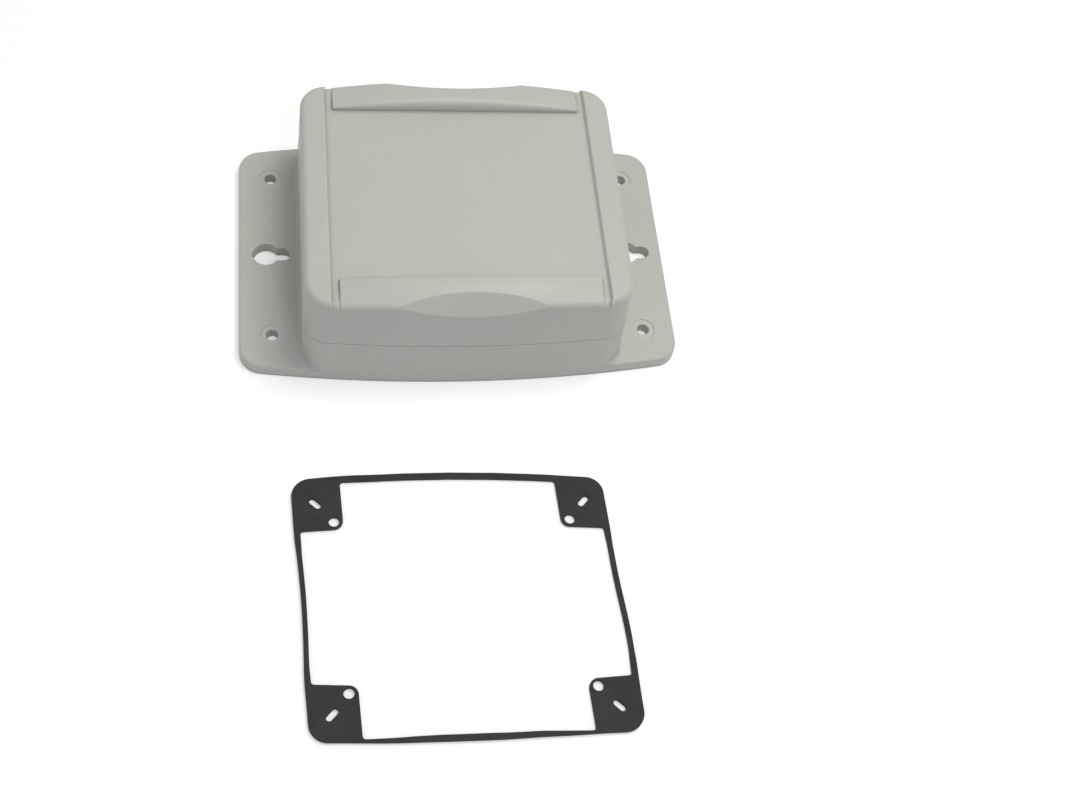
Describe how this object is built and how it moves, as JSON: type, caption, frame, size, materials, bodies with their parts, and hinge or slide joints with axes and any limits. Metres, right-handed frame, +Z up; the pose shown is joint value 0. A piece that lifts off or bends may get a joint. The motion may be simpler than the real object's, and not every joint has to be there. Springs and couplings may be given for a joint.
{
  "type": "flanged wall-mount enclosure with loose gasket",
  "caption": "Pale grey two-part plastic box with bowed ends, mounting flanges with keyholes, a recessed cover between two grip bars, and its flat black gasket laid in front.",
  "frame": {"origin": "on the mounting face under the base, in the middle of the four flange holes", "axes": "+X along the flanged width, +Y towards the rear bowed end, +Z up from the mounting face through the cover; the loose gasket lies on the same surface at -Y"},
  "size_m": [0.1502, 0.2226, 0.0442],
  "materials": {
    "housing": "fine matte spark texture, warm light grey",
    "gasket": "smooth matte die-cut sheet, charcoal",
    "screws": "zinc-plated, fine turned marks"
  },
  "bodies": {
    "root": {"base": "housing", "cover": "housing", "gasket": "gasket", "cover_screws": "screws"}
  },
  "joints": []
}
